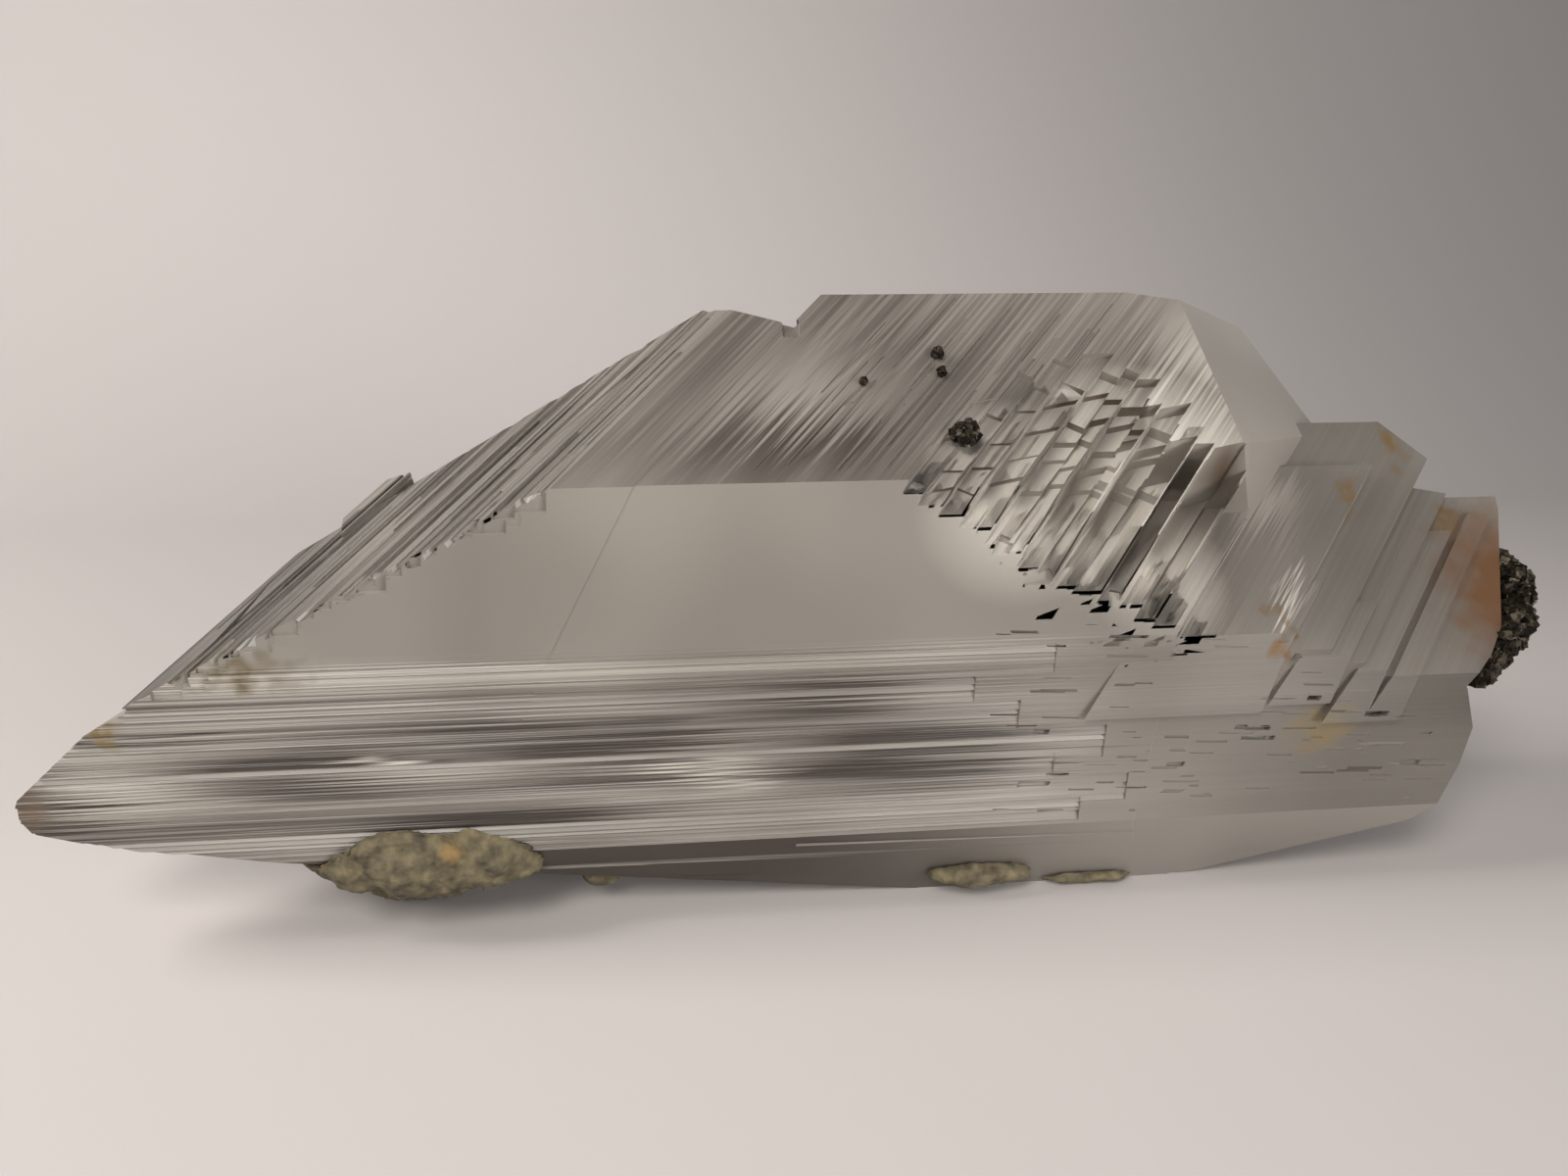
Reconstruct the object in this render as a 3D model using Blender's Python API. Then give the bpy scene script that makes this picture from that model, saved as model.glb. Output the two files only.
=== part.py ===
"""Selenite crystal blade, lying on its long side, with matrix and pyrite still attached.

The crystal is one solid grown from parallel individuals that share the same faces.
X runs along the c axis of the crystal, Y away from the viewer, Z up.
Values are millimetres in the crystal's own axes until the last step centres the piece.
"""
import math
import random

import bmesh
import bpy
from mathutils import Matrix, Vector, noise

MM = 0.001
GAP = 0.35

# Directions of the crystal: c axis, the second edge direction, the broad face normal.
C_AXIS = Vector((1.0, 0.0, 0.0))
EDGE = Vector((0.6296, 0.589, 0.5075)).normalized()
BROAD = Vector((0.0, -0.652, 0.758)).normalized()
ACROSS = EDGE.cross(BROAD).normalized()
ANCHOR = Vector((0.0, -12.0, 85.2))

# Striated face left of the broad face: its outward direction and the corner where it starts.
BAND_FACE = Vector((-0.428, -0.282, 0.859)).normalized()
BAND_CORNER = Vector((-39.2, -12.0, 84.7))

# Main heights and depths.
FRONT_Y = -12.0
FRONT_SHOULDER_Z = 56.6
FRONT_LEAN = 0.1137
BAND_TOP_Z = 18.0
BAND_TOP_Y = -7.8
TOP_EDGE_Y = 19.6
TOP_EDGE_Z = 112.8
BACK_Y = 50.0
BACK_LEVEL = -98.0
HUMP_ACROSS = -48.5
TERRACE_LEVEL = -25.0
SECOND_LEVEL = -27.6
LOWER_LEVEL = -30.2
SLAB_LEVEL = -22.4

# Etched slope: where it starts and ends along the front edge.
ETCH_START = 20.0
ETCH_END = 91.0
SEED = 7


def clear_scene():
    for ob in list(bpy.data.objects):
        bpy.data.objects.remove(ob, do_unlink=True)


def new_collection(name):
    col = bpy.data.collections.new(name)
    bpy.context.scene.collection.children.link(col)
    return col


def srgb(code):
    values = [int(code[i:i + 2], 16) / 255.0 for i in (0, 2, 4)]
    return [v / 12.92 if v <= 0.04045 else ((v + 0.055) / 1.055) ** 2.4 for v in values]


def make_material(name, code, roughness, metallic):
    mat = bpy.data.materials.new(name)
    mat.use_nodes = True
    shader = mat.node_tree.nodes["Principled BSDF"]
    shader.inputs["Base Color"].default_value = srgb(code) + [1.0]
    shader.inputs["Roughness"].default_value = roughness
    shader.inputs["Metallic"].default_value = metallic
    return mat


def level(depth):
    """Plane parallel to the broad face at a depth below it."""
    return (ANCHOR + BROAD * depth, BROAD)


def across(value, sign):
    """Plane parallel to the edge direction and square to the broad face."""
    return (ACROSS * value, ACROSS * sign)


def slanted(value, depth, lean):
    """Side face parallel to the edge direction that leans outward going down from a level."""
    return (ACROSS * value + BROAD * (ANCHOR.dot(BROAD) + depth), ACROSS + BROAD * lean)


def lattice(a, b, g):
    """Point at a along c, b along the edge direction, g off the broad face."""
    return ANCHOR + C_AXIS * a + EDGE * b + BROAD * g


def to_object(bm, name, collection, cutter=False):
    bmesh.ops.recalc_face_normals(bm, faces=bm.faces[:])
    mesh = bpy.data.meshes.new(name)
    bm.to_mesh(mesh)
    bm.free()
    ob = bpy.data.objects.new(name, mesh)
    collection.objects.link(ob)
    if cutter:
        ob.hide_render = True
        ob.display_type = "WIRE"
    return ob


def individual(name, collection, planes, offset=0.0, cutter=True):
    """Convex solid bounded by planes given as point and outward normal."""
    bm = bmesh.new()
    bmesh.ops.create_cube(bm, size=700.0)
    for point, normal in planes:
        n = normal.normalized()
        place = point + n * offset
        geom = bm.verts[:] + bm.edges[:] + bm.faces[:]
        bmesh.ops.bisect_plane(
            bm, geom=geom, dist=0.0001, plane_co=place, plane_no=n, clear_outer=True)
        rim = [e for e in bm.edges if e.is_boundary]
        if rim:
            bmesh.ops.holes_fill(bm, edges=rim, sides=0)
    return to_object(bm, name, collection, cutter)


def skew_box(name, collection, corner, sides):
    """Box with sides along three given vectors from one corner."""
    bm = bmesh.new()
    bmesh.ops.create_cube(bm, size=1.0)
    a, b, c = sides
    for v in bm.verts:
        x, y, z = [k + 0.5 for k in v.co]
        v.co = corner + a * x + b * y + c * z
    return to_object(bm, name, collection, True)


def apply_boolean(target, tool, operation):
    mod = target.modifiers.new(tool.name, "BOOLEAN")
    mod.operation = operation
    mod.solver = "MANIFOLD"
    mod.object = tool
    return mod


def bake(target):
    """Turns the live modifiers into plain mesh."""
    graph = bpy.context.evaluated_depsgraph_get()
    graph.update()
    mesh = bpy.data.meshes.new_from_object(target.evaluated_get(graph))
    target.modifiers.clear()
    target.data = mesh


def keep_largest(target):
    """Drops the small splinters that the cuts set free from the main body."""
    bm = bmesh.new()
    bm.from_mesh(target.data)
    left = set(bm.verts)
    groups = []
    while left:
        stack = [left.pop()]
        group = []
        while stack:
            v = stack.pop()
            group.append(v)
            for edge in v.link_edges:
                other = edge.other_vert(v)
                if other in left:
                    left.remove(other)
                    stack.append(other)
        groups.append(group)
    groups.sort(key=len)
    for group in groups[:-1]:
        bmesh.ops.delete(bm, geom=group, context="VERTS")
    bm.to_mesh(target.data)
    bm.free()


def front_planes(shift=0.0):
    """Upright front face, the striated face that leans out and the undercut band."""
    down = Vector((0.0, BAND_TOP_Y - FRONT_Y, BAND_TOP_Z - FRONT_SHOULDER_Z))
    lean = Vector((0.0, down.z, -down.y))
    return [
        (Vector((0.0, FRONT_Y + shift, 0.0)), Vector((0.0, -1.0, 0.0))),
        (Vector((0.0, FRONT_Y + shift, FRONT_SHOULDER_Z)), lean),
        (Vector((0.0, BAND_TOP_Y + shift, BAND_TOP_Z)), Vector((0.0, -0.893, -0.450))),
    ]


def under_planes(shift=0.0):
    """Resting facet and the two undersides that rise to the left tip and to the right end."""
    return [
        (Vector((0.0, 0.0, shift)), Vector((0.0, 0.0, -1.0))),
        (Vector((10.0, 0.0, 2.5 + shift)), Vector((-0.155, 0.0, -1.0))),
        (Vector((82.4, 0.0, shift)), Vector((0.305, 0.0, -0.952))),
    ]


def back_planes(shift=0.0):
    """Plain far side: upright back, the sloping face under it and the one behind the top edge."""
    return [
        (Vector((0.0, BACK_Y - shift, 0.0)), Vector((0.0, 1.0, 0.06))),
        (ANCHOR + BROAD * (BACK_LEVEL + shift), -BROAD),
        (Vector((0.0, TOP_EDGE_Y - shift, TOP_EDGE_Z)), Vector((0.0, 0.292, 0.956))),
    ]


def left_planes():
    """Striated band left of the broad face, its ridge, and the pointed left end."""
    ridge_face = ACROSS * -0.94 - BROAD * 0.342
    return [
        level(0.0),
        (BAND_CORNER, BAND_FACE),
        (Vector((-87.2, 9.4, 67.8)), ridge_face),
        (Vector((-65.3, 14.4, 80.4)), Vector((-33.5, 16.1, 55.5))),
        (Vector((-5.0, 16.5, 109.9)), Vector((0.311, 0.35, 0.92))),
        across(20.0, 1.0),
    ]


def tip_individual(collection, offset=0.0):
    """Rounded point at the left end, a little proud of the ridge face."""
    planes = [
        (BAND_CORNER - BAND_FACE * 0.26, BAND_FACE),
        (Vector((-108.4, -12.0, 49.5)), Vector((-0.469, 0.10, 0.883))),
        (Vector((-114.8, -12.0, 46.7)), Vector((-0.659, 0.13, 0.752))),
        (Vector((-128.3, -12.0, 36.0)), Vector((-0.927, -0.10, 0.375))),
        (Vector((-130.0, -12.0, 31.9)), Vector((-1.0, -0.10, -0.04))),
        (Vector((-130.1, -12.0, 29.1)), Vector((-0.84, -0.10, -0.55))),
        (Vector((-128.6, -12.0, 26.4)), Vector((-0.26, -0.10, -0.96))),
        (Vector((-129.5, -2.0, 30.0)), Vector((-0.53, 0.843, 0.09))),
        (Vector((-70.0, 10.0, 50.0)), EDGE),
    ]
    planes += front_planes(0.07) + under_planes(0.2) + back_planes(3.0)
    return individual("left_point", collection, planes, offset)


def left_individual(collection, offset=0.0):
    planes = left_planes() + front_planes() + under_planes(0.12) + back_planes()
    return individual("crystal", collection, planes, offset, False)


def broad_individual(collection):
    """Highest plate: full top edge, rounded right corner and the bright riser."""
    planes = [
        level(0.25),
        (ANCHOR - BROAD * 60.0, -BROAD),
        across(HUMP_ACROSS, -1.0),
        (Vector((66.5, 19.9, 112.6)), Vector((0.154, 0.162, 0.974))),
        (Vector((77.1, 11.2, 105.1)), Vector((0.62, -0.45, 0.60))),
        (Vector((100.9, 38.9, 103.0)), Vector((0.72, 0.30, 0.56))),
        slanted(37.2, TERRACE_LEVEL, 0.36),
    ]
    planes += front_planes(-0.15) + under_planes(0.5) + back_planes(0.3)
    return individual("broad_plate", collection, planes)


def terrace_individual(collection):
    """First terrace right of the riser, with its own top edge and cut corner."""
    planes = [
        level(TERRACE_LEVEL),
        across(-60.0, -1.0),
        across(60.0, 1.0),
        (Vector((109.4, 27.5, 86.2)), Vector((0.0, 0.35, 0.94))),
        (Vector((124.6, 27.6, 86.3)), Vector((0.66, 0.38, 0.30))),
        (Vector((122.0, -12.0, 18.0)), Vector((0.96, 0.0, -0.28))),
    ]
    planes += front_planes(0.05) + under_planes() + back_planes(0.9)
    return individual("terrace", collection, planes)


def second_individual(collection):
    planes = [
        level(SECOND_LEVEL),
        across(0.0, -1.0),
        across(66.5, 1.0),
        (Vector((132.0, 17.2, 74.0)), Vector((0.22, 0.87, 0.42))),
        (ANCHOR - BROAD * 70.0, -BROAD),
    ]
    planes += front_planes(0.12) + under_planes(0.6) + back_planes(2.3)
    return individual("second_terrace", collection, planes)


def lower_individual(collection, offset=0.0):
    """Slab at the right end that carries the brown stain and the pyrite crust."""
    planes = [
        level(LOWER_LEVEL),
        across(0.0, -1.0),
        (Vector((144.4, 12.8, 67.0)), Vector((0.933, -0.275, -0.237))),
        (Vector((134.9, -4.7, 51.9)), Vector((0.797, -0.459, -0.394))),
        (Vector((131.4, -8.2, 48.9)), Vector((0.680, -0.553, -0.476))),
        (Vector((146.9, 18.6, 71.9)), Vector((0.977, -0.169, -0.145))),
        (Vector((140.0, 19.0, 72.3)), Vector((0.0, 0.90, 0.43))),
        (ANCHOR - BROAD * 66.0, -BROAD),
    ]
    planes += front_planes(0.20) + under_planes(0.7)
    return individual("lower_slab", collection, planes, offset)


def foot_individual(collection, offset=0.0):
    """Low rounded right end of the blade."""
    planes = [
        level(LOWER_LEVEL - 0.4),
        across(-20.0, -1.0),
        across(97.0, 1.0),
        (Vector((129.6, -9.0, 34.8)), Vector((0.93, 0.03, 0.37))),
        (Vector((129.6, -9.0, 34.8)), Vector((0.995, -0.05, -0.08))),
        (Vector((129.0, -8.6, 26.8)), Vector((0.968, 0.0, -0.25))),
        (Vector((126.7, -8.0, 18.0)), Vector((0.80, -0.10, -0.60))),
        (Vector((126.0, -12.0, 44.0)), Vector((0.35, 0.25, 0.90))),
        (Vector((140.0, 18.6, 71.9)), Vector((0.0, 0.90, 0.43))),
    ]
    planes += front_planes(0.28) + under_planes(0.3) + back_planes(1.7)
    return individual("foot", collection, planes, offset)


def raised_slabs(collection):
    """Thin growth slabs standing a little above the terraces, ending along c."""
    rows = [
        ("raised_slab", 30.0, 51.0, TERRACE_LEVEL - 9.0, SLAB_LEVEL, -40.0, 16.2),
        ("slab_step", 50.0, 53.2, TERRACE_LEVEL - 9.0, TERRACE_LEVEL + 1.2, -40.0, -2.0),
        ("corner_slab", 56.0, 63.5, -33.0, SECOND_LEVEL + 1.6, -40.0, -3.2),
        ("end_slab", 66.0, 70.5, -36.0, LOWER_LEVEL + 1.8, -20.0, 11.0),
        ("end_strip", 72.0, 76.0, -36.0, LOWER_LEVEL + 0.9, -20.0, 15.0),
    ]
    made = []
    for name, w0, w1, g0, g1, front, back in rows:
        planes = [
            across(w0, -1.0),
            slanted(w1, g1, 0.25),
            level(g1),
            (ANCHOR + BROAD * g0, -BROAD),
            (Vector((0.0, max(front, FRONT_Y + 0.4), 0.0)), Vector((0.0, -1.0, 0.0))),
            (Vector((0.0, back, 0.0)), Vector((0.0, 1.0, 0.0))),
        ]
        made.append(individual(name, collection, planes))
    return made


def ridge_bump(collection):
    """Clear stub on the left ridge, grown parallel to the edge direction."""
    middle = Vector((-75.0, 17.9, 76.7))
    planes = [
        (middle + BAND_FACE * 0.7, BAND_FACE - ACROSS * 0.45 - EDGE * 0.1),
        (BAND_CORNER + BAND_FACE * 0.8, BAND_FACE),
        (BAND_CORNER - BAND_FACE * 5.0, -BAND_FACE),
        across(-97.3, -1.0),
        across(-93.4, 1.0),
        (middle + EDGE * 4.8, EDGE - ACROSS * 0.7),
        (middle - EDGE * 4.4, -EDGE - ACROSS * 0.9),
    ]
    return individual("ridge_bump", collection, planes)


def front_depth(a):
    """Depth of the etched slope where it meets the front face."""
    stations = [(20.0, -0.8), (27.0, -3.2), (40.0, -7.6), (50.0, -12.6), (60.0, -14.9),
                (70.5, -17.2), (82.0, -20.6), (92.0, -22.6)]
    for (a0, g0), (a1, g1) in zip(stations, stations[1:]):
        if a <= a1:
            return g0 + (g1 - g0) * (a - a0) / (a1 - a0)
    return stations[-1][1]


def slope_top(a):
    """How far up the broad face the etched slope reaches."""
    stations = [(18.0, 18.0), (27.0, 34.0), (38.0, 34.0), (45.0, 27.0), (58.0, 15.0),
                (70.0, 1.0), (92.0, -24.0)]
    for (a0, b0), (a1, b1) in zip(stations, stations[1:]):
        if a <= a1:
            return b0 + (b1 - b0) * (a - a0) / (a1 - a0)
    return stations[-1][1]


def etched_cutters(collection):
    """Slats parallel to the edge direction, each stepping down toward the front."""
    rng = random.Random(SEED)
    cutters = []
    a = ETCH_START
    index = 0
    while a < ETCH_END:
        width = rng.uniform(2.6, 6.0)
        middle = a + width * 0.5
        top = slope_top(middle) + rng.uniform(-3.0, 3.0)
        depth = front_depth(middle)
        front = (-(12.0 - 0.652 * -depth) + 12.0) / 0.589 - 6.0
        steps = 6
        for k in range(1, steps + 1):
            share = k / steps
            floor = depth * share ** 0.9 + rng.uniform(-0.4, 0.4)
            reach = top + (front - top) * (k - 1) / steps + rng.uniform(-1.5, 1.5)
            skew = rng.choice((-0.55, 0.0, 0.35)) * width
            side_shift = rng.uniform(-0.2, 0.2)
            spread = width + rng.uniform(0.05, 0.45)
            sides = (C_AXIS * spread + EDGE * skew, EDGE * (reach + 90.0), BROAD * (40.0 + k))
            corner = lattice(a + side_shift, -90.0 - k * 0.7, floor)
            cutters.append(skew_box("slat_%02d_%d" % (index, k), collection, corner, sides))
        a += width + rng.choice((-0.1, 0.7))
        index += 1
    return cutters


def band_cutters(collection):
    """Long shallow steps down the striated left band."""
    rng = random.Random(SEED + 1)
    side = EDGE.cross(BAND_FACE).normalized()
    cutters = []
    offset = 4.0
    index = 0
    while offset < 44.0:
        width = rng.uniform(0.7, 2.2)
        depth = rng.uniform(0.35, 0.95)
        start = rng.uniform(-120.0, -60.0)
        length = rng.uniform(90.0, 190.0)
        leftward = -side * math.copysign(offset, side.x)
        corner = BAND_CORNER + leftward + EDGE * start - BAND_FACE * depth
        sides = (side * width, EDGE * length, BAND_FACE * 6.0 + side * rng.uniform(-2.0, 2.0))
        cutters.append(skew_box("ridge_%02d" % index, collection, corner, sides))
        offset += width + rng.uniform(1.2, 2.8)
        index += 1
    return cutters


def striation_cutter(name, collection, start, stop, top, foot, seed):
    """Saw-toothed profile run along c, leaving horizontal ledges on the leaning front face."""
    rng = random.Random(seed)
    outline = []
    z = top
    while z > foot:
        y = FRONT_Y + (FRONT_SHOULDER_Z - z) * FRONT_LEAN
        depth = rng.uniform(0.2, 0.62)
        height = rng.uniform(0.8, 2.6)
        outline.append((y - 0.06, z))
        outline.append((y + depth, z - 0.22))
        z -= height
    outline.append((FRONT_Y + (FRONT_SHOULDER_Z - z) * FRONT_LEAN - 0.06, z))
    outline.append((FRONT_Y - 20.0, z - 0.4))
    outline.append((FRONT_Y - 20.0, top + 0.4))
    bm = bmesh.new()
    ring = [bm.verts.new((start, y, z)) for y, z in outline]
    face = bm.faces.new(ring)
    grown = bmesh.ops.extrude_face_region(bm, geom=[face])
    moved = [v for v in grown["geom"] if isinstance(v, bmesh.types.BMVert)]
    bmesh.ops.translate(bm, verts=moved, vec=(stop - start, 0.0, 0.0))
    return to_object(bm, name, collection, True)


def striation_cutters(collection):
    """Groups of ledges down the leaning face, each group ending at its own place."""
    groups = [(55.6, 50.3, 47.0), (49.9, 45.2, 33.0), (44.8, 39.4, 41.5), (39.0, 34.1, 58.0),
              (33.7, 29.0, 49.0), (28.6, 23.9, 63.5), (23.5, BAND_TOP_Z + 1.2, 55.0)]
    made = []
    for index, (top, foot, stop) in enumerate(groups):
        name = "ledges_%d" % index
        made.append(striation_cutter(name, collection, -150.0 - index, stop, top, foot, SEED + 2 + index))
    return made


def chip_cutters(collection):
    """Broken edges: the hump, the notch beside the plate, the ridge line and the front edge."""
    chips = [
        (-4.5, 17.0, 112.0, 6.0, 5.0, 3.4, 0.5), (-17.5, 22.0, 110.6, 6.0, 8.0, 2.6, 0.2),
        (3.0, 13.6, 107.2, 4.0, 3.0, 3.0, 0.9), (-28.0, 21.5, 104.0, 9.0, 8.0, 3.2, 0.4),
        (-42.5, 23.0, 98.2, 8.0, 9.0, 3.0, 0.8), (-62.0, 19.5, 86.2, 7.0, 9.0, 2.4, 0.3),
        (-52.0, -12.4, 79.0, 6.0, 2.4, 3.0, 0.7), (-70.0, -12.4, 69.5, 7.0, 2.0, 2.6, 0.5),
        (-88.0, -12.4, 60.5, 5.0, 2.2, 2.4, 0.9), (-101.0, -12.4, 54.0, 6.0, 2.4, 2.6, 0.3),
        (128.5, 21.5, 78.0, 3.0, 5.0, 3.0, 0.5),
        (36.0, -12.4, 73.5, 4.5, 2.4, 2.6, 0.6), (43.0, -12.4, 68.0, 5.0, 2.4, 2.8, 0.2),
        (56.5, -12.4, 63.5, 4.0, 2.0, 2.0, 0.8), (90.0, -12.3, 50.5, 5.0, 1.4, 2.0, 0.4),
    ]
    cutters = []
    for index, (x, y, z, sx, sy, sz, turn) in enumerate(chips):
        spin = Matrix.Rotation(turn, 3, "X") @ Matrix.Rotation(turn * 1.7, 3, "Z")
        sides = [spin @ Vector((sx, 0, 0)), spin @ Vector((0, sy, 0)), spin @ Vector((0, 0, sz))]
        corner = Vector((x, y, z)) - (sides[0] + sides[1] + sides[2]) * 0.5
        cutters.append(skew_box("chip_%02d" % index, collection, corner, sides))
    return cutters


def pit_cutters(collection):
    """Short flat etch pits scattered over the right half of the front."""
    rng = random.Random(SEED + 3)
    cutters = []
    for index in range(14):
        x = rng.uniform(34.0, 122.0)
        z = rng.uniform(20.0, min(58.0, 96.0 - x * 0.45))
        y = FRONT_Y if z > FRONT_SHOULDER_Z else FRONT_Y + (FRONT_SHOULDER_Z - z) * FRONT_LEAN
        length = rng.uniform(2.0, 7.0)
        height = rng.uniform(0.5, 1.1)
        depth = rng.uniform(0.5, 1.1)
        side = Vector((length, 0.0, -0.05 * length))
        sides = (side, Vector((0.3, 0.0, height)), Vector((0.0, -4.0, 1.0)))
        cutters.append(skew_box("pit_%02d" % index, collection, Vector((x, y + depth, z)), sides))
    return cutters


def foot_ledges(collection):
    """Long ledges along the undercut band at the foot of the front."""
    rows = [(-60.0, 120.0, 13.0, 1.6, 0.7), (-85.0, 95.0, 8.0, 1.4, 0.6), (2.0, 100.0, 15.6, 1.0, 0.5)]
    cutters = []
    for index, (x, length, z, height, depth) in enumerate(rows):
        y = BAND_TOP_Y + (BAND_TOP_Z - z) * 0.503
        side = Vector((length, 0.0, -0.02 * length))
        sides = (side, Vector((0.0, -0.4, height)), Vector((0.0, -4.0, -2.0)))
        cutters.append(skew_box("foot_%d" % index, collection, Vector((x, y + depth, z)), sides))
    return cutters


def crystal(objects, cutters, material):
    body = left_individual(objects)
    unions = [tip_individual(cutters), broad_individual(cutters), terrace_individual(cutters)]
    unions += [second_individual(cutters), lower_individual(cutters), foot_individual(cutters)]
    for tool in unions:
        apply_boolean(body, tool, "UNION")
    bake(body)
    tools = etched_cutters(cutters) + chip_cutters(cutters)
    for tool in tools:
        apply_boolean(body, tool, "DIFFERENCE")
    bake(body)
    for tool in raised_slabs(cutters) + [ridge_bump(cutters)]:
        apply_boolean(body, tool, "UNION")
    bake(body)
    fine = band_cutters(cutters) + striation_cutters(cutters)
    fine += pit_cutters(cutters) + foot_ledges(cutters)
    for tool in fine:
        apply_boolean(body, tool, "DIFFERENCE")
    bake(body)
    keep_largest(body)
    body.data.materials.clear()
    body.data.materials.append(material)
    return body


def lumpy(name, collection, centre, radii, rings, amount, scale, seed, material):
    """Rounded grain mass with an uneven surface."""
    bm = bmesh.new()
    bmesh.ops.create_uvsphere(bm, u_segments=rings[0], v_segments=rings[1], radius=1.0)
    shift = Vector((seed * 3.1, seed * 1.7, seed * 0.9))
    for v in bm.verts:
        p = Vector((v.co.x * radii[0], v.co.y * radii[1], v.co.z * radii[2]))
        wave = noise.noise(p * scale + shift) + 0.5 * noise.noise(p * scale * 2.3 + shift)
        p += v.co.normalized() * wave * amount
        v.co = (Vector(centre) + p)
    ob = to_object(bm, name, collection)
    ob.data.materials.append(material)
    return ob


def trim(target, tools):
    for tool in tools:
        tool.hide_render = True
        tool.display_type = "WIRE"
        apply_boolean(target, tool, "DIFFERENCE")
    bake(target)
    keep_largest(target)


def floor_block(collection):
    corner = Vector((-200.0, -100.0, -60.0))
    sides = (Vector((400.0, 0.0, 0.0)), Vector((0.0, 300.0, 0.0)), Vector((0.0, 0.0, 60.0)))
    return skew_box("ground_cut", collection, corner, sides)


def matrix_lump(objects, cutters, material):
    """Granular lump under the left part: a front mass and a foot that stands on the ground."""
    front, front_radii = (-63.8, -3.0, 17.0), (23.0, 10.0, 8.5)
    lump = lumpy("matrix_lump", objects, front, front_radii, (48, 26), 1.3, 0.19, 1, material)
    foot, foot_radii = (-69.5, 13.5, 9.2), (16.5, 14.0, 10.2)
    lower = lumpy("matrix_foot", cutters, foot, foot_radii, (36, 20), 1.3, 0.17, 5, material)
    lower.hide_render = True
    lower.display_type = "WIRE"
    apply_boolean(lump, lower, "UNION")
    bake(lump)
    planes = left_planes() + front_planes() + under_planes() + back_planes()
    shell = individual("lump_seat", cutters, planes, GAP)
    trim(lump, [shell, tip_individual(cutters, GAP), floor_block(cutters)])
    return lump


def matrix_scraps(objects, cutters, material):
    """Small bits of matrix left along the bottom front edge."""
    edge_planes = front_planes() + under_planes() + back_planes()
    shell = individual("scrap_seat", cutters, left_planes() + edge_planes, GAP)
    long_shell = individual("edge_seat", cutters, edge_planes, GAP)
    ground = floor_block(cutters)
    rows = [
        ("matrix_crumb", (-34.5, 1.5, 7.6), (4.2, 3.4, 3.2), (14, 8), 0.5, 0.5, 2, [shell]),
        ("matrix_patch", (38.0, -2.4, 5.2), (10.5, 3.4, 2.6), (20, 8), 0.5, 0.35, 3, [long_shell, ground]),
        ("matrix_strip", (60.5, 0.2, 1.7), (9.5, 2.6, 1.7), (20, 8), 0.35, 0.4, 4, [long_shell, ground]),
    ]
    made = []
    for name, centre, radii, rings, amount, scale, seed, tools in rows:
        scrap = lumpy(name, objects, centre, radii, rings, amount, scale, seed, material)
        trim(scrap, tools)
        made.append(scrap)
    return made


def pyrite_crust(objects, cutters, material):
    """Dark crust of small crystals on the right end face."""
    rng = random.Random(SEED + 5)
    grains = [((144.0, 7.6, 59.0), 3.2), ((143.4, 4.2, 55.8), 3.6), ((141.4, 0.8, 52.8), 3.7),
              ((138.2, -2.0, 50.2), 3.5), ((134.6, -4.6, 47.6), 3.2), ((130.8, -7.2, 45.2), 2.7),
              ((145.6, 5.8, 58.0), 2.3), ((136.4, -4.6, 49.8), 2.3), ((143.6, 10.8, 61.0), 2.5)]
    crust = None
    for index, (centre, radius) in enumerate(grains):
        bm = bmesh.new()
        bmesh.ops.create_icosphere(bm, subdivisions=2, radius=radius)
        for v in bm.verts:
            v.co *= rng.uniform(0.88, 1.06)
            v.co += Vector(centre)
        if index == 0:
            crust = to_object(bm, "pyrite_crust", objects)
            crust.data.materials.append(material)
        else:
            grain = to_object(bm, "grain_%d" % index, cutters, True)
            apply_boolean(crust, grain, "UNION")
    bake(crust)
    trim(crust, [lower_individual(cutters, GAP), foot_individual(cutters, GAP)])
    return crust


def pyrite_specks(objects, cutters, material):
    """Pyrite grains sitting on the broad face beside the etched slope."""
    rng = random.Random(SEED + 6)
    places = [("pyrite_cluster", (23.4, 11.0, 1.1), 2.3), ("pyrite_grain_high", (6.4, 34.6, 0.9), 1.1),
              ("pyrite_grain_mid", (10.2, 29.0, 0.8), 0.9), ("pyrite_grain_left", (-2.5, 26.8, 0.75), 0.8)]
    made = []
    for name, (a, b, g), radius in places:
        centre = lattice(a, b, g)
        bm = bmesh.new()
        bmesh.ops.create_icosphere(bm, subdivisions=2, radius=radius)
        for v in bm.verts:
            v.co *= rng.uniform(0.85, 1.08)
            v.co += centre
        grain = to_object(bm, name, objects)
        grain.data.materials.append(material)
        seat_planes = [level(0.25), (ANCHOR + BROAD * -20.0, -BROAD)]
        trim(grain, [individual(name + "_seat", cutters, seat_planes, GAP)])
        made.append(grain)
    return made


def centre_all(parts):
    """Puts the origin under the middle of the whole piece and turns millimetres into metres."""
    points = [v.co for ob in parts for v in ob.data.vertices]
    low = Vector([min(p[i] for p in points) for i in range(3)])
    high = Vector([max(p[i] for p in points) for i in range(3)])
    shift = Vector((-(low.x + high.x) / 2, -(low.y + high.y) / 2, -low.z))
    for ob in parts:
        ob.data.transform(Matrix.Scale(MM, 4) @ Matrix.Translation(shift))
    print("moved by", [round(v, 3) for v in shift], "millimetres")


clear_scene()
piece = new_collection("selenite_blade")
helpers = new_collection("cutters")
selenite = make_material("selenite", "9c9288", 0.25, 0.0)
matrix_stone = make_material("matrix_stone", "766a4d", 0.9, 0.0)
pyrite = make_material("pyrite", "4a4030", 0.4, 0.8)

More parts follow.
